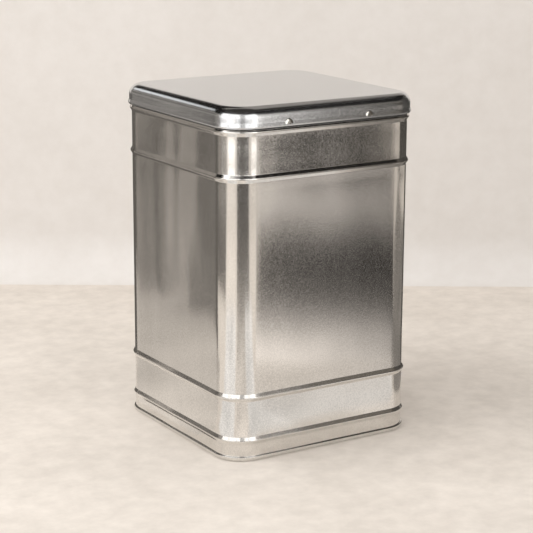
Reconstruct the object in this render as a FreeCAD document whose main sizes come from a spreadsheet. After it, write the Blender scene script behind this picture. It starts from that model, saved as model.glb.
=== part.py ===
"""Square storage tin with a shut hinged lid, as a parametric FreeCAD model in millimetres.

The tin stands on the XY plane with the centre of its base at the origin and +Z up.
The face towards -Y carries the two hinge pips of the lid.
"""
import FreeCAD, Part
import math
import os
import Sketcher

doc = FreeCAD.newDocument("storage_tin")

# ---- driving dimensions, in millimetres ----
SIZES = {
    "body_side": 110.0,  # outside width and depth of the plain wall
    "corner_radius": 14.5,  # outside radius of the wall's upright corners
    "overall_height": 176.0,  # floor to top of the lid
    "tinplate": 0.3,  # thickness of the sheet
    "bead_tall": 4.2,  # a rolled bead, from root to root
    "bead_out": 0.95,  # how far a bead stands out from the wall
    "bead_root": 0.2,  # how deep a bead's section starts inside the wall
    "foot_bead_up": 10.4,  # floor to the middle of the lowest bead
    "waist_bead_up": 32.5,  # floor to the middle of the second bead
    "neck_bead_drop": 22.4,  # rest bead down to the bead of the upper band
    "rest_bead_drop": 0.8,  # lower edge of the lid down to the middle of the rest bead
    "neck_inset": 0.6,  # how far the neck stands back inside the lid
    "lid_depth": 11.2,  # top of the lid to the lower edge of its skirt
    "lid_edge_radius": 5.5,  # rounding between the lid's top and its skirt
    "lid_clearance": 0.05,  # free space between the crest of the rest bead and the skirt
    "curl_tall": 2.4,  # rolled lower edge of the skirt
    "curl_out": 0.55,  # how far the curl stands out from the skirt
    "seam_tall": 2.8,  # rolled seam of the base
    "seam_out": 0.85,  # how far the seam stands out from the wall
    "seam_foot_radius": 0.5,  # lower rounding of the seam
    "seam_width": 2.1,  # width of the ring that the tin stands on
    "pip_radius": 2.5,  # half the width of a hinge pip
    "pip_out": 0.5,  # how far a pip stands out from the skirt
    "pip_spacing": 47.0,  # from the middle of one pip to the other
}
sheet = doc.addObject("Spreadsheet::Sheet", "sizes")
for row, (alias, size) in enumerate(SIZES.items(), start=1):
    sheet.set(f"A{row}", alias)
    sheet.set(f"B{row}", str(size))
    sheet.setAlias(f"B{row}", alias)
doc.recompute()

# ---- heights and distances worked out from the driving dimensions ----
LID_FOOT = "(sizes.overall_height - sizes.lid_depth)"
REST_BEAD = f"({LID_FOOT} - sizes.rest_bead_drop)"
NECK_BEAD = f"({REST_BEAD} - sizes.neck_bead_drop)"
NECK_FOOT = f"({REST_BEAD} + sizes.bead_tall / 2)"
NECK_TOP = "(sizes.overall_height - sizes.tinplate)"
SKIRT_IN = "(sizes.bead_out + sizes.lid_clearance)"
SKIRT_OUT = f"({SKIRT_IN} + sizes.tinplate)"
INNER_EDGE_RADIUS = "(sizes.lid_edge_radius - sizes.tinplate)"
CURL_TOP = f"({LID_FOOT} + sizes.curl_tall)"


def value(expression):
    """Work out an expression of the sheet's names as a plain number."""
    return float(sheet.evalExpression(expression.replace("sizes.", "")))


def new_body(name):
    """Start a sub-part, whose label names its file."""
    body = doc.addObject("PartDesign::Body", name)
    body.Label = name
    doc.recompute()
    return body


def new_sketch(body, name, role, height="0"):
    """Add a sketch on one of the body's own origin planes, raised by an expression."""
    sketch = body.newObject("Sketcher::SketchObject", name)
    plane = next(item for item in body.Origin.OriginFeatures if item.Role == role)
    sketch.AttachmentSupport = [(plane, "")]
    sketch.MapMode = "FlatFace"
    sketch.setExpression("AttachmentOffset.Base.z", f"1mm * ({height})")
    return sketch


def bind(sketch, name, constraint, expression):
    """Add a dimension to a sketch and tie it to an expression."""
    index = sketch.addConstraint(constraint)
    sketch.renameConstraint(index, name)
    sketch.setExpression(f"Constraints.{name}", expression)


def rounded_square(body, name, outset, height):
    """Sketch the wall's outline, moved outwards and raised by expressions."""
    sketch = new_sketch(body, name, "XY_Plane", height)
    reach = value(f"body_side / 2 + {outset}")
    radius = value(f"corner_radius + {outset}")
    straight = reach - radius
    upwards = FreeCAD.Vector(0, 0, 1)
    for turn in range(4):
        spin = FreeCAD.Rotation(upwards, 90 * turn)
        start = spin.multVec(FreeCAD.Vector(reach, -straight, 0))
        end = spin.multVec(FreeCAD.Vector(reach, straight, 0))
        corner = Part.Circle(spin.multVec(FreeCAD.Vector(straight, straight, 0)), upwards, radius)
        sketch.addGeometry(Part.LineSegment(start, end))
        sketch.addGeometry(Part.ArcOfCircle(corner, turn * math.pi / 2, (turn + 1) * math.pi / 2))
    lines = [0, 2, 4, 6]
    arcs = [1, 3, 5, 7]
    for line, arc, next_line, way in zip(lines, arcs, [2, 4, 6, 0], ["Vertical", "Horizontal"] * 2):
        sketch.addConstraint(Sketcher.Constraint("Tangent", line, 2, arc, 1))
        sketch.addConstraint(Sketcher.Constraint("Tangent", arc, 2, next_line, 1))
        sketch.addConstraint(Sketcher.Constraint(way, line))
    for arc in arcs[1:]:
        sketch.addConstraint(Sketcher.Constraint("Equal", arcs[0], arc))
    sketch.addConstraint(Sketcher.Constraint("Equal", lines[0], lines[1]))
    sketch.addConstraint(Sketcher.Constraint("Symmetric", arcs[0], 3, arcs[2], 3, -1, 1))
    bind(
        sketch,
        "reach",
        Sketcher.Constraint("DistanceX", -1, 1, lines[0], 1, reach),
        f"sizes.body_side / 2 + {outset}",
    )
    bind(
        sketch,
        "radius",
        Sketcher.Constraint("Radius", arcs[0], radius),
        f"sizes.corner_radius + {outset}",
    )
    return sketch


def pad(body, name, outset, foot, top):
    """Fill the moved outline between two heights."""
    feature = body.newObject("PartDesign::Pad", name)
    feature.Profile = rounded_square(body, f"{name}_outline", outset, foot)
    feature.setExpression("Length", f"{top} - {foot}")
    doc.recompute()
    return feature


def pocket_up(body, name, outset, foot, top):
    """Cut the moved outline out between two heights, from below."""
    feature = body.newObject("PartDesign::Pocket", name)
    feature.Profile = rounded_square(body, f"{name}_outline", outset, foot)
    feature.Reversed = True
    feature.setExpression("Length", f"{top} - {foot}")
    doc.recompute()
    return feature


def round_edge(body, name, base, outset, height, radius):
    """Round the ring of edges that lies at a height, on the moved outline."""
    ring = []
    level = value(height)
    reach = value(f"body_side / 2 + {outset}")
    for number, edge in enumerate(base.Shape.Edges, start=1):
        box = edge.BoundBox
        farthest = max(-box.XMin, box.XMax, -box.YMin, box.YMax)
        if max(abs(box.ZMin - level), abs(box.ZMax - level), abs(farthest - reach)) < 0.01:
            ring.append(f"Edge{number}")
    feature = body.newObject("PartDesign::Fillet", name)
    feature.Base = (base, ring)
    feature.setExpression("Radius", radius)
    doc.recompute()
    return feature


def rolled_ring(body, name, centre, root, crest, tall):
    """Sweep a round-backed section about the wall, from its root outwards to its crest."""
    section = new_sketch(body, f"{name}_section", "XZ_Plane")
    rise = f"({crest} - {root})"
    bulge = f"(({tall} / 2)^2 + {rise}^2) / (2 * {rise})"
    side = value(f"body_side / 2 + {root}")
    low = FreeCAD.Vector(side, value(f"{centre} - {tall} / 2"), 0)
    high = FreeCAD.Vector(side, value(f"{centre} + {tall} / 2"), 0)
    middle = FreeCAD.Vector(side + value(rise), value(centre), 0)
    section.addGeometry(Part.Arc(low, middle, high))
    section.addGeometry(Part.LineSegment(high, low))
    section.addConstraint(Sketcher.Constraint("Coincident", 0, 2, 1, 1))
    section.addConstraint(Sketcher.Constraint("Coincident", 0, 1, 1, 2))
    section.addConstraint(Sketcher.Constraint("Vertical", 1))
    bind(
        section,
        "side",
        Sketcher.Constraint("DistanceX", -1, 1, 1, 2, side),
        f"sizes.body_side / 2 + {root}",
    )
    bind(section, "low", Sketcher.Constraint("DistanceY", -1, 1, 1, 2, low.y), f"{centre} - {tall} / 2")
    bind(section, "high", Sketcher.Constraint("DistanceY", -1, 1, 1, 1, high.y), f"{centre} + {tall} / 2")
    bind(section, "bulge", Sketcher.Constraint("Radius", 0, value(bulge)), bulge)
    feature = body.newObject("PartDesign::AdditivePipe", name)
    feature.Profile = section
    feature.Spine = rounded_square(body, f"{name}_path", "0", centre)
    doc.recompute()
    return feature


# ---- base: end plate whose rolled seam holds the wall and carries the tin ----
base = new_body("base")
block = pad(base, "seam_block", "sizes.seam_out", "0", "sizes.seam_tall")
shoulder = round_edge(base, "seam_shoulder", block, "sizes.seam_out", "sizes.seam_tall", "sizes.seam_out")
round_edge(base, "seam_foot", shoulder, "sizes.seam_out", "0", "sizes.seam_foot_radius")
pocket_up(
    base,
    "base_recess",
    "sizes.seam_out - sizes.seam_width",
    "0",
    "(sizes.seam_tall - sizes.tinplate)",
)

# ---- body: the shut tin's wall with its four rolled beads, and its neck inside the lid ----
body = new_body("body")
pad(body, "wall", "0", "sizes.seam_tall", NECK_FOOT)
neck = pad(body, "neck", "-sizes.neck_inset", NECK_FOOT, NECK_TOP)
round_edge(body, "neck_edge", neck, "-sizes.neck_inset", NECK_TOP, INNER_EDGE_RADIUS)
BEADS = {
    "foot_bead": "sizes.foot_bead_up",
    "waist_bead": "sizes.waist_bead_up",
    "neck_bead": NECK_BEAD,
    "rest_bead": REST_BEAD,
}
for name, centre in BEADS.items():
    rolled_ring(body, name, centre, "-sizes.bead_root", "sizes.bead_out", "sizes.bead_tall")

# ---- lid: drawn cap over the neck, with a rolled lower edge above the rest bead ----
lid = new_body("lid")
pad(lid, "cap", SKIRT_OUT, LID_FOOT, "sizes.overall_height")
hollow = pocket_up(lid, "cap_hollow", SKIRT_IN, LID_FOOT, NECK_TOP)
inner = round_edge(lid, "cap_inner_edge", hollow, SKIRT_IN, NECK_TOP, INNER_EDGE_RADIUS)
round_edge(lid, "cap_edge", inner, SKIRT_OUT, "sizes.overall_height", "sizes.lid_edge_radius")
rolled_ring(
    lid,
    "curl",
    f"({LID_FOOT} + sizes.curl_tall / 2)",
    f"({SKIRT_IN} + sizes.tinplate / 2)",
    f"({SKIRT_OUT} + sizes.curl_out)",
    "sizes.curl_tall",
)

# ---- hinge pips: two half-domes on the skirt, each standing on the curl ----
PIPS = {"hinge_pip_left": -1, "hinge_pip_right": 1}
pips = []
for name, side in PIPS.items():
    pip = new_body(name)
    section = new_sketch(pip, f"{name}_section", "XY_Plane")
    radius = value("pip_radius")
    out = value("pip_out")
    bulge = "(sizes.pip_radius^2 + sizes.pip_out^2) / (2 * sizes.pip_out)"
    centre = FreeCAD.Vector(0, 0, 0)
    crest = FreeCAD.Vector(0, -out, 0)
    rim = FreeCAD.Vector(radius, 0, 0)
    halfway = FreeCAD.Vector(radius / math.sqrt(2), -out / 2, 0)
    section.addGeometry(Part.Arc(crest, halfway, rim))
    section.addGeometry(Part.LineSegment(rim, centre))
    section.addGeometry(Part.LineSegment(centre, crest))
    section.addConstraint(Sketcher.Constraint("Coincident", 0, 2, 1, 1))
    section.addConstraint(Sketcher.Constraint("Coincident", 0, 1, 2, 2))
    section.addConstraint(Sketcher.Constraint("Coincident", 1, 2, -1, 1))
    section.addConstraint(Sketcher.Constraint("Coincident", 2, 1, -1, 1))
    section.addConstraint(Sketcher.Constraint("Horizontal", 1))
    section.addConstraint(Sketcher.Constraint("Vertical", 2))
    bind(section, "rim", Sketcher.Constraint("DistanceX", -1, 1, 1, 1, radius), "sizes.pip_radius")
    bind(section, "crest", Sketcher.Constraint("DistanceY", 0, 1, -1, 1, out), "sizes.pip_out")
    bind(section, "bulge", Sketcher.Constraint("Radius", 0, value(bulge)), bulge)
    dome = pip.newObject("PartDesign::Revolution", f"{name}_dome")
    dome.Profile = section
    dome.ReferenceAxis = (section, ["V_Axis"])
    dome.Angle = 180
    dome.Reversed = True
    pip.setExpression("Placement.Base.x", f"{side} * sizes.pip_spacing / 2")
    pip.setExpression("Placement.Base.y", f"-(sizes.body_side / 2 + {SKIRT_OUT})")
    pip.setExpression("Placement.Base.z", CURL_TOP)
    pips.append(pip)
doc.recompute()

# ---- check every object, then write each sub-part to its own file ----
for item in doc.Objects:
    if "Invalid" in item.State or "Error" in item.State:
        raise RuntimeError(f"{item.Name} failed")
os.makedirs("parts", exist_ok=True)
for part in [base, body, lid, *pips]:
    shape = part.Shape
    if shape.isNull() or not shape.isValid() or len(shape.Solids) != 1:
        raise RuntimeError(f"{part.Label} has no sound solid")
    shape.exportStep(f"parts/{part.Label}.step")
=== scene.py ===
import math

import bpy
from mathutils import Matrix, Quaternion, Vector, noise


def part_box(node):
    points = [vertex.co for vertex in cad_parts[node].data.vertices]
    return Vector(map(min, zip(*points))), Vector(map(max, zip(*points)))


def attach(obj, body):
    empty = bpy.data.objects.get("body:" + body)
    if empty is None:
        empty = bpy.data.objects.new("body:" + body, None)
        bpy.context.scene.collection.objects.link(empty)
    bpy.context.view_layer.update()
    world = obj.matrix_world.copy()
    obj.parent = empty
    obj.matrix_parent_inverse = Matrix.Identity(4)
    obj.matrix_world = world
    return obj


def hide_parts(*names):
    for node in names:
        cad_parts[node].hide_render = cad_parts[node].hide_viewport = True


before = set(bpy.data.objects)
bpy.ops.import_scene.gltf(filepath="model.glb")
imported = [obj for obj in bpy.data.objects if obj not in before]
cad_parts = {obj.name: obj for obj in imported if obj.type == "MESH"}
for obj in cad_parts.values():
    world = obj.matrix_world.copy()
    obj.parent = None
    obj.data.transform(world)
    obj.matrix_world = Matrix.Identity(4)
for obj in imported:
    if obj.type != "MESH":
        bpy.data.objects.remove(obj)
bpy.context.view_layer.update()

# ---------------------------------------------------------------------------------------------------------
# Base: the end plate of the tin, stamped from tinplate and hooked to the foot of the walls by a rolled
# double seam. The tin stands on the seam, and the plate sits a little above the floor inside it.

MM = 0.001
base_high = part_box("base")[1]
seam_out = 0.85 * MM
seam_in = seam_out - 2.1 * MM
seam_tall = 2.45 * MM
wall_half = base_high.x - seam_out
corner_turn = 14.5 * MM
tightest_turn = 0.3 * MM
corner_steps = 24
flat_steps = 28
sharp_edge = 55
plate_height = 2.2 * MM
plate_roll = 0.3 * MM
plate_edge = seam_in - plate_roll
foot_inner_roll = 0.7 * MM
foot_outer_roll = 0.9 * MM
seam_lip_roll = 0.55 * MM
plate_hidden = 3.0 * MM
seam_hidden = 0.1 * MM
seam_dark = (0.71, 0.70, 0.68)
seam_light = (0.82, 0.81, 0.79)
cloud_stretch = 0.25
cloud_share = 0.3
speck_share = 0.7
tone_start = 0.43
tone_end = 0.57
speck_matt = 0.085
cloud_matt = 0.03
speck_deep = 0.0092 * MM
brush_deep = 0.0012 * MM
mottle_deep = 0.0018 * MM


def arc(out, z, radius, start, end, steps):
    """Points of a quarter or other part turn in the section: degrees from straight out, upwards."""
    points = []
    for i in range(steps + 1):
        a = math.radians(start + (end - start) * i / steps)
        points.append((out + radius * math.cos(a), z + radius * math.sin(a)))
    return points


def square_ring(out, z):
    """One level line of the tin: a square with round corners, this far out from the plain wall."""
    half = wall_half + out
    turn = max(corner_turn + out, tightest_turn)
    middle = half - turn
    points = []
    for k in range(4):
        side_x = 1 if k in (0, 3) else -1
        side_y = 1 if k in (0, 1) else -1
        for i in range(corner_steps + 1):
            a = math.radians(90 * (k + i / corner_steps))
            points.append(Vector((side_x * middle + turn * math.cos(a),
                                  side_y * middle + turn * math.sin(a), z)))
        a = math.radians(90 * (k + 1))
        along = Vector((-math.sin(a), math.cos(a), 0))
        start = points[-1]
        for i in range(1, flat_steps):
            points.append(start + along * (2 * middle * i / flat_steps))
    return points


def mesh_object(name, verts, faces, mat, smooth=False):
    """A new object of these points and faces, in this material."""
    mesh = bpy.data.meshes.new(name)
    mesh.from_pydata([tuple(v) for v in verts], [], faces)
    mesh.polygons.foreach_set("use_smooth", [smooth] * len(mesh.polygons))
    mesh.materials.append(mat)
    obj = bpy.data.objects.new(name, mesh)
    bpy.context.scene.collection.objects.link(obj)
    return obj


def join_rings(faces, low, high, count):
    """Faces between two closed rings of this many points, which start at these two places."""
    for i in range(count):
        j = (i + 1) % count
        faces.append((low + i, low + j, high + j, high + i))


def flat_top(verts, faces, rim, count):
    """Closes the topmost ring with one flat face."""
    faces.append(tuple(range(rim, rim + count)))


def pressed_square(name, section, mat, bend=None, close_top=flat_top):
    """Tinplate swept round the rounded square, from a section of (out, height) points."""
    verts, faces = [], []
    for out, z in section:
        ring = square_ring(out, z)
        verts += [bend(p) for p in ring] if bend else ring
    count = len(verts) // len(section)
    for row in range(len(section) - 1):
        join_rings(faces, row * count, (row + 1) * count, count)
    faces.append(tuple(reversed(range(count))))
    close_top(verts, faces, (len(section) - 1) * count, count)
    obj = mesh_object(name, verts, faces, mat, smooth=True)
    obj.data.validate()
    obj.data.set_sharp_from_angle(angle=math.radians(sharp_edge))
    return obj


def node(tree, kind, *values, **named):
    """A node with these values or links, in socket order or by socket name with _ for spaces."""
    made = tree.nodes.new(kind)
    for key, value in [*enumerate(values), *named.items()]:
        socket = made.inputs[key.replace("_", " ") if isinstance(key, str) else key]
        if isinstance(value, bpy.types.NodeSocket):
            tree.links.new(value, socket)
        else:
            socket.default_value = value
    return made


def new_material(name):
    """A new material, its nodes, and the place on the object that its patterns follow."""
    mat = bpy.data.materials.new(name)
    mat.use_nodes = True
    tree = mat.node_tree
    return mat, tree, tree.nodes.new("ShaderNodeTexCoord").outputs["Object"]


def pattern(tree, place, scale, detail, roughness=0.5):
    """Random patches, this many to a metre, as a value from 0 to 1."""
    made = node(tree, "ShaderNodeTexNoise", Vector=place, Scale=scale, Detail=detail, Roughness=roughness)
    return made.outputs["Fac"]


def span(tree, value, low, high):
    """Turns a 0 to 1 value into low to high."""
    made = node(tree, "ShaderNodeMapRange", Value=value, To_Min=low, To_Max=high)
    return made.outputs["Result"]


def combine(tree, operation, first, second):
    """The sum or the product of two values."""
    made = node(tree, "ShaderNodeMath", first, second)
    made.operation = operation
    return made.outputs[0]


def two_tones(tree, value, start, end, dark, light):
    """Goes from the dark to the light colour while the value goes from start to end."""
    ramp = node(tree, "ShaderNodeValToRGB", value)
    for mark, spot, colour in zip(ramp.color_ramp.elements, (start, end), (dark, light)):
        mark.position = spot
        mark.color = (*colour, 1)
    return ramp.outputs[0]


def tinplate(name, dark, light, rough, grain=1.0, offset=0.0):
    """Bare tinplate: bright metal with a fine matt grain, faint cloudy bands and small flecks."""
    mat, tree, place = new_material(name)
    shader = tree.nodes["Principled BSDF"]
    shader.inputs["Metallic"].default_value = 1.0
    moved = (offset, offset * 0.7, offset * 1.3)
    shifted = node(tree, "ShaderNodeMapping", Vector=place, Location=moved).outputs[0]
    rolled = node(tree, "ShaderNodeMapping", Vector=shifted, Scale=(1.0, 1.0, cloud_stretch)).outputs[0]
    cloud = pattern(tree, rolled, 42.0, 3.0, 0.55)
    brush = pattern(tree, rolled, 420.0, 2.0, 0.6)
    speck = pattern(tree, shifted, 1450.0, 2.0, 0.7)
    mottle = pattern(tree, shifted, 520.0, 2.0)
    cloud_tone = combine(tree, "MULTIPLY", cloud, cloud_share)
    speck_tone = combine(tree, "MULTIPLY", speck, speck_share)
    tone = combine(tree, "ADD", cloud_tone, speck_tone)
    colour = two_tones(tree, tone, tone_start, tone_end, dark, light)
    tree.links.new(colour, shader.inputs["Base Color"])
    fine_matt = span(tree, speck, rough - speck_matt, rough + speck_matt)
    matt = combine(tree, "ADD", span(tree, cloud, -cloud_matt, cloud_matt), fine_matt)
    tree.links.new(matt, shader.inputs["Roughness"])
    relief = None
    for height, depth in ((speck, speck_deep), (brush, brush_deep), (mottle, mottle_deep)):
        below = {"Normal": relief} if relief else {}
        relief = node(tree, "ShaderNodeBump", Height=height, Strength=1.0, Distance=depth * grain,
                      **below).outputs[0]
    tree.links.new(relief, shader.inputs["Normal"])
    return mat


base_section = [(-plate_hidden, plate_height), (plate_edge, plate_height)]
base_section += arc(plate_edge, plate_height - plate_roll, plate_roll, 90, 0, 4)
base_section += arc(seam_in + foot_inner_roll, foot_inner_roll, foot_inner_roll, 180, 270, 6)
base_section += arc(seam_out - foot_outer_roll, foot_outer_roll, foot_outer_roll, 270, 360, 8)
base_section += arc(seam_out - seam_lip_roll, seam_tall - seam_lip_roll, seam_lip_roll, 0, 90, 8)
base_section += [(-seam_hidden, seam_tall)]
seam_metal = tinplate("seam tinplate", seam_dark, seam_light, rough=0.15, grain=0.7, offset=3.0)
base = pressed_square("rolled_base", base_section, seam_metal)
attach(base, "root")
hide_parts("base")

# ---------------------------------------------------------------------------------------------------------
# Body: one strip of satin tinplate bent round four soft corners. Four beads are rolled outwards into it:
# two near the foot, one at the neck, and one just under the lid that the shut lid rests on. Its upper end
# is out of sight in the lid.

bead_heights = (10.4 * MM, 32.5 * MM, 141.6 * MM, 164.0 * MM)
bead_out = 0.95 * MM
bead_slope = 30.0
bead_crest = 1.0 * MM
bead_root = 0.5 * MM
wall_rows = 5 * MM
wall_hidden = 2.0 * MM
neck_inset = 0.6 * MM
neck_start = bead_heights[-1] + 2.6 * MM
neck_end = 172.5 * MM
wander_depth = 0.22 * MM
wander_along = 34
wander_up = 9
ripple_finer = 2.7
ripple_share = 0.3
wall_dark = (0.725, 0.71, 0.685)
wall_light = (0.83, 0.815, 0.79)


def thin_wall(p):
    """Moves a point a little off the true wall, as thin sheet stands, but not at the stiff corners."""
    if abs(p.x) > abs(p.y):
        outward, along, face = Vector((p.x, 0, 0)), p.y, 1 if p.x > 0 else 2
    else:
        outward, along, face = Vector((0, p.y, 0)), p.x, 3 if p.y > 0 else 4
    reach = min(abs(along) / (wall_half - corner_turn), 1)
    fade = (1 - reach ** 4) ** 2
    place = Vector((along * wander_along, p.z * wander_up, 2.0 + 7.3 * face))
    slow = noise.noise(place)
    ripple = noise.noise(place * ripple_finer + Vector((3.1, 0.4, 9.2)))
    return p + outward.normalized() * (wander_depth * fade * (slow + ripple_share * ripple))


def bead(z):
    """A rolled bead: a round crest between two straight flanks that run into the wall by small roots."""
    slope = math.radians(bead_slope)
    flank = (bead_out - (bead_crest + bead_root) * (1 - math.cos(slope))) / math.sin(slope)
    reach = (bead_crest + bead_root) * math.sin(slope) + flank * math.cos(slope)
    low = arc(bead_root, z - reach, bead_root, 180, 180 - bead_slope, 5)
    crest = arc(bead_out - bead_crest, z, bead_crest, -bead_slope, bead_slope, 12)
    high = arc(bead_root, z + reach, bead_root, 180 + bead_slope, 180, 5)
    return low + crest + high


body_section = [(-wall_hidden, seam_tall), (0.0, seam_tall)]
for z in bead_heights:
    points = bead(z)
    start = body_section[-1][1]
    gap = points[0][1] - start
    steps = max(2, round(gap / wall_rows))
    body_section += [(0.0, start + gap * i / steps) for i in range(1, steps)]
    body_section += points
body_section += [(-neck_inset, neck_start), (-neck_inset, neck_end)]
wall_metal = tinplate("wall tinplate", wall_dark, wall_light, rough=0.14)
body = pressed_square("tin_body", body_section, wall_metal, bend=thin_wall)
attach(body, "root")
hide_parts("body")

# ---------------------------------------------------------------------------------------------------------
# Lid: a shallow pressed cap with a flat top and a rounded edge. Its skirt slips over the neck and ends in
# an outward curl that hides the cut edge and rests on the topmost bead.

lid_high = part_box("lid")[1]
lid_clear = 0.001 * MM
curl_clear = 0.0015 * MM
lid_top = lid_high.z - lid_clear
lid_edge_down = 5.2 * MM
lid_edge_in = 5.6 * MM
lid_edge_steps = 24
skirt_out = 1.3 * MM
skirt_in = 1.0 * MM
skirt_hidden = 2.5 * MM
skirt_floor = 1.0 * MM
curl_crest = lid_high.x - wall_half - curl_clear
curl_height = bead_heights[-1] + 2.75 * MM
curl_radius = 0.3 * MM
curl_slope = 20.0
curl_facet = 25.0
curl_foot_turn = -140
curl_root = ((0.06, -0.16), (0.01, 0.02), (0.0, 0.2), (0.0, 1.2))
curl_foot = bead_heights[-1] + 2.05 * MM
curl_foot_in = 0.46 * MM
curl_foot_radius = 0.15 * MM
top_rings = 22
top_sag = 0.05 * MM
top_wander = 28
top_sink = 0.6
lid_dark = (0.675, 0.695, 0.715)
lid_light = (0.785, 0.805, 0.825)


def top_height(x, y):
    """How far the top sags below flat, a little unevenly, as a thin pressed panel does."""
    reach = min(max(abs(x), abs(y)) / (wall_half - lid_edge_in), 1)
    fade = 1 - reach ** 6
    wander = noise.noise(Vector((x * top_wander, y * top_wander, 4.2))) - top_sink
    return top_sag * fade * wander


def sagging_top(verts, faces, rim, count):
    """Closes the topmost ring with a panel of ever smaller rings."""
    ring = rim
    for step in range(1, top_rings):
        share = 1 - step / top_rings
        first = len(verts)
        for i in range(count):
            p = verts[rim + i]
            q = Vector((p.x * share, p.y * share, p.z))
            q.z += top_height(q.x, q.y)
            verts.append(q)
        join_rings(faces, ring, first, count)
        ring = first
    verts.append(Vector((0, 0, verts[rim].z + top_height(0, 0))))
    for i in range(count):
        faces.append((ring + i, ring + (i + 1) % count, len(verts) - 1))


lid_section = [(-skirt_hidden, curl_height + skirt_floor), (skirt_in, curl_height + skirt_floor)]
lid_section += arc(curl_crest - curl_foot_in, curl_foot, curl_foot_radius, curl_foot_turn,
                   -curl_facet, 8)
lid_section += arc(curl_crest - curl_radius, curl_height, curl_radius, -curl_facet, curl_slope, 8)
curl_out, curl_top = lid_section[-1]
curl_top += (curl_out - skirt_out) / math.tan(math.radians(curl_slope))
lid_section += [(skirt_out + out * MM, curl_top + up * MM) for out, up in curl_root]
for i in range(lid_edge_steps + 1):
    a = math.radians(90 * i / lid_edge_steps)
    lid_section.append((skirt_out - lid_edge_in * (1 - math.cos(a)),
                        lid_top - lid_edge_down * (1 - math.sin(a))))
lid_metal = tinplate("lid tinplate", lid_dark, lid_light, rough=0.20, grain=1.2, offset=11.0)
lid = pressed_square("pressed_lid", lid_section, lid_metal, close_top=sagging_top)
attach(lid, "root")
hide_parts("lid")

# ---------------------------------------------------------------------------------------------------------
# Hinge pips: two small polished half-domes on the skirt of one face, where the knuckles of the lid's wire
# hinge are pushed through. Their lower halves run into the curl.

pip_out = 0.52 * MM
pip_sunk = 0.3 * MM
pip_stretch = 1.1
pip_flatness = 0.45
pip_steepness = 1.1
pip_rings = 14
pip_around = 40
pip_dark = (0.70, 0.69, 0.66)
pip_light = (0.80, 0.79, 0.76)


def pip_mesh(name, low, high, mat):
    """A button pushed out of the skirt where this box is, steep at its rim and nearly flat on top."""
    middle = (low.x + high.x) / 2
    radius = (high.x - low.x) / 2
    foot = low.z - pip_sunk
    verts, faces = [], []
    for r in range(pip_rings + 1):
        a = math.radians(90 * r / pip_rings)
        reach = radius * math.cos(a) ** pip_flatness
        rise = pip_out * math.sin(a) ** pip_steepness
        for i in range(pip_around + 1):
            turn = math.pi * i / pip_around
            verts.append((middle + reach * math.cos(turn), high.y - rise,
                          foot + reach * pip_stretch * math.sin(turn)))
    for r in range(pip_rings):
        for i in range(pip_around):
            a = r * (pip_around + 1) + i
            faces.append((a, a + pip_around + 1, a + pip_around + 2, a + 1))
    return mesh_object(name, verts, faces, mat, smooth=True)


pip_metal = tinplate("polished pip", pip_dark, pip_light, rough=0.12, grain=0.3, offset=5.0)
for cad_name in ("hinge_pip_left", "hinge_pip_right"):
    pip = pip_mesh(cad_name + "_dome", *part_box(cad_name), pip_metal)
    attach(pip, "root")
    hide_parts(cad_name)

# ---------------------------------------------------------------------------------------------------------
# Table and backdrop: a cream stone-like table, and a cream board that curves up out of it behind the tin.
# The board is clear from behind, so that the tin can be seen from the back too.

view_turn = math.radians(-32.18)
away = Vector((-math.sin(view_turn), math.cos(view_turn), 0))
across = Vector((math.cos(view_turn), math.sin(view_turn), 0))
floor_half = 4
board_back = 0.305
board_tall = 0.29
board_cove = 0.03
board_half = 0.30
table_dark = (0.70, 0.645, 0.585)
table_light = (0.825, 0.765, 0.70)
board_dark = (0.785, 0.755, 0.725)
board_light = (0.83, 0.803, 0.778)
stone_matt = 0.85
stone_shine = 0.2
stone_start = 0.38
stone_end = 0.62


def stone(name, dark, light, see_through=False):
    """Matt cream stone or paper with a faint mottle."""
    mat, tree, place = new_material(name)
    shader = tree.nodes["Principled BSDF"]
    shader.inputs["Roughness"].default_value = stone_matt
    shader.inputs["Specular IOR Level"].default_value = stone_shine
    wide = pattern(tree, place, 14.0, 6.0, 0.6)
    fine = pattern(tree, place, 90.0, 4.0, 0.6)
    tone = combine(tree, "MULTIPLY", combine(tree, "ADD", wide, fine), 0.5)
    colour = two_tones(tree, tone, stone_start, stone_end, dark, light)
    tree.links.new(colour, shader.inputs["Base Color"])
    if see_through:
        clear = node(tree, "ShaderNodeBsdfTransparent").outputs[0]
        behind = node(tree, "ShaderNodeNewGeometry").outputs["Backfacing"]
        mixed = node(tree, "ShaderNodeMixShader", behind, shader.outputs[0], clear).outputs[0]
        tree.links.new(mixed, tree.nodes["Material Output"].inputs["Surface"])
    return mat


floor_corners = [(-floor_half, -floor_half, 0), (floor_half, -floor_half, 0),
                 (floor_half, floor_half, 0), (-floor_half, floor_half, 0)]
floor = mesh_object("floor", floor_corners, [(0, 1, 2, 3)], stone("cream table", table_dark, table_light))

board_line = []
for degrees in range(0, 91, 6):
    a = math.radians(degrees)
    board_line.append((board_back - board_cove * (1 - math.sin(a)), board_cove * (1 - math.cos(a))))
board_line.append((board_back, board_tall))
verts = []
for out, up in board_line:
    for side in (-board_half, board_half):
        verts.append(away * out + across * side + Vector((0, 0, up)))
faces = [(2 * i, 2 * i + 1, 2 * i + 3, 2 * i + 2) for i in range(len(board_line) - 1)]
cream_board = stone("cream board", board_dark, board_light, see_through=True)
board = mesh_object("board", verts, faces, cream_board, smooth=True)

# ---------------------------------------------------------------------------------------------------------
# Studio light: a large high softbox to the left of the tin, an upright strip lamp on each side in front,
# and a small strip lamp behind.

lamp_tint = (1.0, 0.99, 0.98)


def bearing(degrees, distance, height):
    """A place this far from the tin, degrees anticlockwise from +X."""
    a = math.radians(degrees)
    return Vector((distance * math.cos(a), distance * math.sin(a), height))


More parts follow.
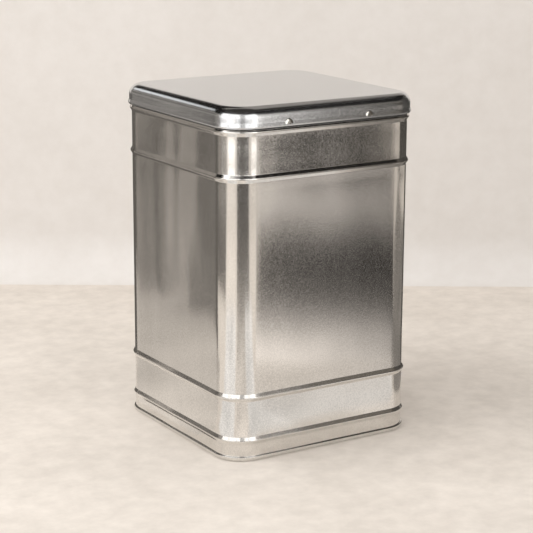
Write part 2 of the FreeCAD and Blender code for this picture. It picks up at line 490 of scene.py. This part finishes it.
def softbox(name, where, aim, wide, tall, glow):
    """A soft rectangular lamp of this brightness."""
    data = bpy.data.lights.new(name, "AREA")
    data.shape = "RECTANGLE"
    data.size = wide
    data.size_y = tall
    data.energy = glow * math.pi * wide * tall
    data.color = lamp_tint
    lamp = bpy.data.objects.new(name, data)
    lamp.location = where
    lamp.rotation_euler = (Vector(aim) - where).to_track_quat("-Z", "Y").to_euler()
    bpy.context.scene.collection.objects.link(lamp)
    return lamp


high_lamp = softbox("high_softbox", bearing(165, 0.60, 0.95), (0, 0, 0.05), 0.5, 0.5, 5.0)
high_lamp.visible_glossy = False
softbox("left_strip", bearing(205, 0.56, 0.23), (-0.05, -0.05, 0.23), 0.25, 0.34, 1.5)
softbox("right_strip", bearing(282, 0.55, 0.23), (-0.05, -0.05, 0.23), 0.19, 0.34, 1.3)
softbox("back_strip", bearing(108, 0.60, 0.465), (0, 0, 0.20), 0.19, 0.08, 1.2)

# ---------------------------------------------------------------------------------------------------------
# Flags: glowing sheets in place of dark cloths and pale cards, hung round the set, stood beside the tin and
# laid on the table. They are no lamps, and only the metal's reflections show them: painted reflections that
# give bright metal its dark and bright parts. Places are bearings in degrees, and distances and heights in
# metres.

glow_tint = (1.0, 0.91, 0.82)
glow_patches = 11.0
glow_uneven = 0.6
glow_mottle = 14.0
glow_mottle_uneven = 0.5
sweep_steps = 24
room_reach = 1.10
room_top = 1.60
front_reach = 0.52
front_low = 0.092
laid_low = 0.0006
laid_high = 0.0012


def glowing(name, tint):
    """A glowing material for painted reflections, its nodes, its own place, and a way to set each place's
    glow.
    """
    mat, tree, place = new_material(name)
    tree.nodes.remove(tree.nodes["Principled BSDF"])
    light = node(tree, "ShaderNodeEmission", Color=(*tint, 1))
    tree.links.new(light.outputs[0], tree.nodes["Material Output"].inputs["Surface"])
    return mat, tree, place, light.inputs["Strength"]


def glow_sheet(name, glow, tint=glow_tint):
    """A glowing sheet that paints one uneven tone into the metal's reflections."""
    mat, tree, place, strength = glowing(name, tint)
    upright = node(tree, "ShaderNodeMapping", Vector=place, Scale=(1.0, 1.0, 0.3)).outputs[0]
    fold = pattern(tree, upright, glow_patches, 2.0)
    tree.links.new(span(tree, fold, glow * (1 - glow_uneven), glow * (1 + glow_uneven)), strength)
    return mat


def graded_glow(name, stops, sides=((0, 1), (1, 1)), tint=glow_tint):
    """Glowing sheet for painted reflections, whose glow changes along its own X, from (metres, glow) stops,
    and by a share along its Y.
    """
    mat, tree, place, strength = glowing(name, tint)
    parts = node(tree, "ShaderNodeSeparateXYZ", Vector=place)
    glows = []
    for axis, bands in (("X", stops), ("Y", sides)):
        start, end = bands[0][0], bands[-1][0]
        share = node(tree, "ShaderNodeMapRange", Value=parts.outputs[axis], From_Min=start, From_Max=end)
        ramp = node(tree, "ShaderNodeValToRGB", share.outputs["Result"])
        marks = ramp.color_ramp.elements
        while len(marks) < len(bands):
            marks.new(0.5)
        for mark, (spot, glow) in zip(marks, bands):
            mark.position = (spot - start) / (end - start)
            mark.color = (glow, glow, glow, 1)
        glows.append(ramp.outputs[0])
    even = combine(tree, "MULTIPLY", *glows)
    mottle = span(tree, pattern(tree, place, glow_mottle, 2.0), 1 - glow_mottle_uneven, 1 + glow_mottle_uneven)
    tree.links.new(combine(tree, "MULTIPLY", even, mottle), strength)
    return mat


def flag(obj):
    """Leaves this piece of the set to the metal's reflections alone."""
    obj.visible_camera = False
    obj.visible_diffuse = False
    obj.visible_shadow = False
    obj.visible_transmission = False


def swept_flag(name, start, end, first_edge, second_edge, mat):
    """A flag swept round the tin between two bearings, from its two edges' distances and heights."""
    verts = []
    for i in range(sweep_steps + 1):
        turn = start + (end - start) * i / sweep_steps
        verts += [bearing(turn, *first_edge), bearing(turn, *second_edge)]
    faces = [(2 * i, 2 * i + 1, 2 * i + 3, 2 * i + 2) for i in range(sweep_steps)]
    flag(mesh_object(name, verts, faces, mat))


def hung_flag(name, distance, start, end, low, high, mat):
    """A glowing sheet, in place of a curtain or card, hung round the tin at one distance, between two
    bearings and two heights.
    """
    swept_flag(name, start, end, (distance, low), (distance, high), mat)


def flat_flag(name, inner, outer, start, end, height, mat):
    """A level sector round the tin, between two distances and two bearings."""
    swept_flag(name, start, end, (inner, height), (outer, height), mat)


def laid_flag(name, corners, mat, turn=0.0, lift=laid_low):
    """A glowing sheet laid flat on the table, from its corners, turned this many degrees about the tin."""
    obj = mesh_object(name, [(x, y, lift) for x, y in corners], [tuple(range(len(corners)))], mat)
    obj.rotation_euler.z = math.radians(turn)
    flag(obj)


def stood_flag(name, foot, turn, length, tall, mat):
    """A glowing sheet stood on the table from this foot, running this way; its own X goes along it."""
    corners = [(0, 0, 0), (length, 0, 0), (length, 0, tall), (0, 0, tall)]
    obj = mesh_object(name, corners, [(0, 1, 2, 3)], mat)
    obj.location = (*foot, 0)
    obj.rotation_euler.z = math.radians(turn)
    flag(obj)


# Glowing sheets in place of curtains and ceiling, the walls of the room, dim below and black above: painted
# reflections.
black_glow = glow_sheet("black cloth", 0.012)
dark_glow = glow_sheet("dark cloth", 0.04)
smoky_glow = glow_sheet("smoky card", 0.08)
low_front_glow = glow_sheet("low front card", 0.085, (1.0, 0.86, 0.71))
dim_glow = glow_sheet("dim card", 0.14)
upper_front_glow = glow_sheet("upper front card", 0.16, (1.0, 0.88, 0.75))
brown_glow = glow_sheet("brown card", 0.19)
grey_glow = glow_sheet("grey card", 0.34)
hung_flag("curtain_front", room_reach, 215, 292, 0.0, 0.95, dim_glow)
hung_flag("curtain_front_low", room_reach, 292, 360, 0.0, 0.48, low_front_glow)
hung_flag("curtain_front_upper", room_reach, 292, 360, 0.48, 0.76, upper_front_glow)
hung_flag("curtain_side", room_reach, 0, 215, 0.0, 0.36, grey_glow)
hung_flag("curtain_side_band", room_reach, 0, 215, 0.36, 0.45, smoky_glow)
hung_flag("curtain_side_upper", room_reach, 0, 215, 0.45, 0.60, grey_glow)
hung_flag("curtain_high", room_reach, 0, 215, 0.60, room_top, black_glow)
hung_flag("curtain_high_front", room_reach, 215, 292, 0.95, room_top, black_glow)
hung_flag("curtain_high_right", room_reach, 292, 360, 0.76, room_top, black_glow)
flat_flag("ceiling", 0.0, room_reach, 0, 360, room_top, dark_glow)
flat_flag("ceiling_far_card", 0.72, room_reach, 10, 106, room_top - 0.002, grey_glow)
flat_flag("cloth_left", 0.36, room_reach, 135, 185, laid_low, brown_glow)

# Glowing sheets nearer the tin: bright ones paint the front corner's two highlights, and dimmer ones paint
# their fade to the right.
white_glow = glow_sheet("white card", 1.0, (1.0, 0.96, 0.92))
bright_glow = glow_sheet("bright card", 1.5, (1.0, 0.97, 0.94))
middle_glow = glow_sheet("middle card", 0.60, (1.0, 0.96, 0.92))
hung_flag("card_left", 0.62, 148, 186, 0.0, 0.40, grey_glow)
hung_flag("card_right", 0.50, 328, 372, 0.05, 0.45, smoky_glow)
hung_flag("card_front_left", front_reach, 168, 234, front_low, 0.58, bright_glow)
hung_flag("card_front_middle", front_reach, 234, 250, front_low, 0.58, middle_glow)
hung_flag("card_front_right", front_reach, 250, 292, front_low, 0.54, bright_glow)
fade_start = 292
fade_wide = 2.5
for step, glow in enumerate((0.95, 0.60, 0.34, 0.20)):
    fading_glow = glow_sheet("fading card " + str(step), glow, (1.0, 0.93, 0.86))
    start = fade_start + fade_wide * step
    hung_flag("card_fading_" + str(step), front_reach, start, start + fade_wide, 0.094, 0.40, fading_glow)
flat_flag("card_low_left", 0.09, 0.34, 188, 220, laid_high, white_glow)
flat_flag("card_low_right", 0.09, 0.34, 249, 272, laid_high, white_glow)
hung_flag("card_above_board", 0.80, 24, 59, 0.33, 1.40, grey_glow)

# Glowing sheets for the right-hand wall, painted reflections whose glow runs from bright at its foot to
# black and back to bright further out.
wall_normal = 302
pale_glow = glow_sheet("pale card", 0.24)
near_glow = glow_sheet("near card", 0.80, (1.0, 0.95, 0.90))
laid_flag("card_by_right_wall",
          [(0.10, -0.10), (0.135, -0.16), (0.217, -0.222), (0.335, -0.385), (0.62, -0.42), (0.55, 0.10),
           (0.12, 0.03)], pale_glow)
right_grade = graded_glow("right-hand card",
                     ((0.19, 0.84), (0.24, 0.70), (0.275, 0.44), (0.31, 0.23), (0.35, 0.11), (0.42, 0.045),
                      (0.48, 0.045), (0.53, 0.18), (0.58, 0.42), (0.64, 0.86), (0.70, 0.82), (0.74, 0.32),
                      (0.775, 0.08), (0.86, 0.03), (1.09, 0.02)),
                     ((-0.09, 1.9), (-0.06, 1.3), (-0.03, 1.0), (0.0, 0.82), (0.03, 0.58), (0.06, 0.38),
                      (0.10, 0.28)), (1.0, 0.92, 0.85))
foot_grade = graded_glow("right-hand foot card", ((0.10, 0.76), (0.19, 0.74)))
laid_flag("card_right_wall", [(0.19, -0.075), (1.09, -0.085), (1.09, 0.085), (0.20, 0.06), (0.19, 0.06)],
          right_grade, wall_normal)
laid_flag("card_right_foot", [(0.10, -0.075), (0.19, -0.075), (0.19, 0.06), (0.10, 0.03)], foot_grade,
          wall_normal)
laid_flag("card_right_near", [(-0.05, -0.092), (0.09, -0.092), (0.11, -0.125), (-0.03, -0.125)], near_glow,
          lift=laid_high)

# Glowing sheets: one out from the front corner, and ones for the left-hand wall, whose stripes paint soft
# streaks into it.
front_grade = graded_glow("front card",
                     ((0.10, 0.85), (0.30, 0.66), (0.34, 0.50), (0.38, 0.34), (0.45, 0.22), (0.52, 0.16),
                      (0.70, 0.09), (1.06, 0.10)))
laid_flag("card_front_corner", [(0.10, -0.034), (1.06, -0.37), (1.06, 0.43), (0.10, 0.045)],
          front_grade, 243)
left_grade = graded_glow("left-hand card",
                    ((0.0, 0.13), (0.070, 0.17), (0.100, 0.30), (0.110, 0.05), (0.127, 0.05), (0.134, 0.84),
                     (0.146, 0.70), (0.158, 0.05), (0.188, 0.04), (0.197, 0.66), (0.208, 0.55), (0.22, 0.12),
                     (0.38, 0.12)))
stood_flag("card_left_wall", (-0.183, 0.08), 90, 0.38, 0.18, left_grade)
low_grade = graded_glow("left-hand low card", ((-0.184, 0.52), (-0.15, 0.60), (-0.12, 0.66), (-0.062, 0.74)))
laid_flag("card_by_left_wall", [(-0.062, -0.01), (-0.183, 0.04), (-0.183, 0.36), (-0.062, 0.30)], low_grade)
stood_flag("card_behind_left", (-0.092, 0.15), 0, 0.15, 0.165, dim_glow)
stood_flag("card_behind_right", (0.125, -0.03), 45, 0.24, 0.165, smoky_glow)

# ---------------------------------------------------------------------------------------------------------
# Room: plain pale light from all sides, warm and even. It reaches the table and the board past the
# flags, which only the metal sees.

room_colour = (0.83, 0.805, 0.78, 1)
room_glow = 1.0
world = bpy.data.worlds.new("pale room")
world.use_nodes = True
sky = world.node_tree.nodes["Background"]
sky.inputs["Strength"].default_value = room_glow
sky.inputs["Color"].default_value = room_colour
bpy.context.scene.world = world

# ---------------------------------------------------------------------------------------------------------
# Camera: a long lens some 0.9 m away and a little above the lid, which looks down at one upright corner
# of the tin and is rolled by a quarter of a degree.

view_tilt = math.radians(13.945)
view_roll = math.radians(0.25)
view_distance = 0.9038
view_lens = 116.9
view_film = 36.0
target_across = -0.23 * MM
target_up = 81.84 * MM
target = across * target_across + Vector((0, 0, target_up))
back = -away * math.cos(view_tilt) + Vector((0, 0, math.sin(view_tilt)))
camera_data = bpy.data.cameras.new("camera")
camera_data.lens = view_lens
camera_data.sensor_width = view_film
camera = bpy.data.objects.new("camera", camera_data)
camera.location = target + back * view_distance
camera.rotation_mode = "QUATERNION"
camera.rotation_quaternion = (-back).to_track_quat("-Z", "Y") @ Quaternion((0, 0, 1), view_roll)
bpy.context.scene.collection.objects.link(camera)
bpy.context.scene.camera = camera
bpy.context.scene.view_settings.view_transform = "Standard"
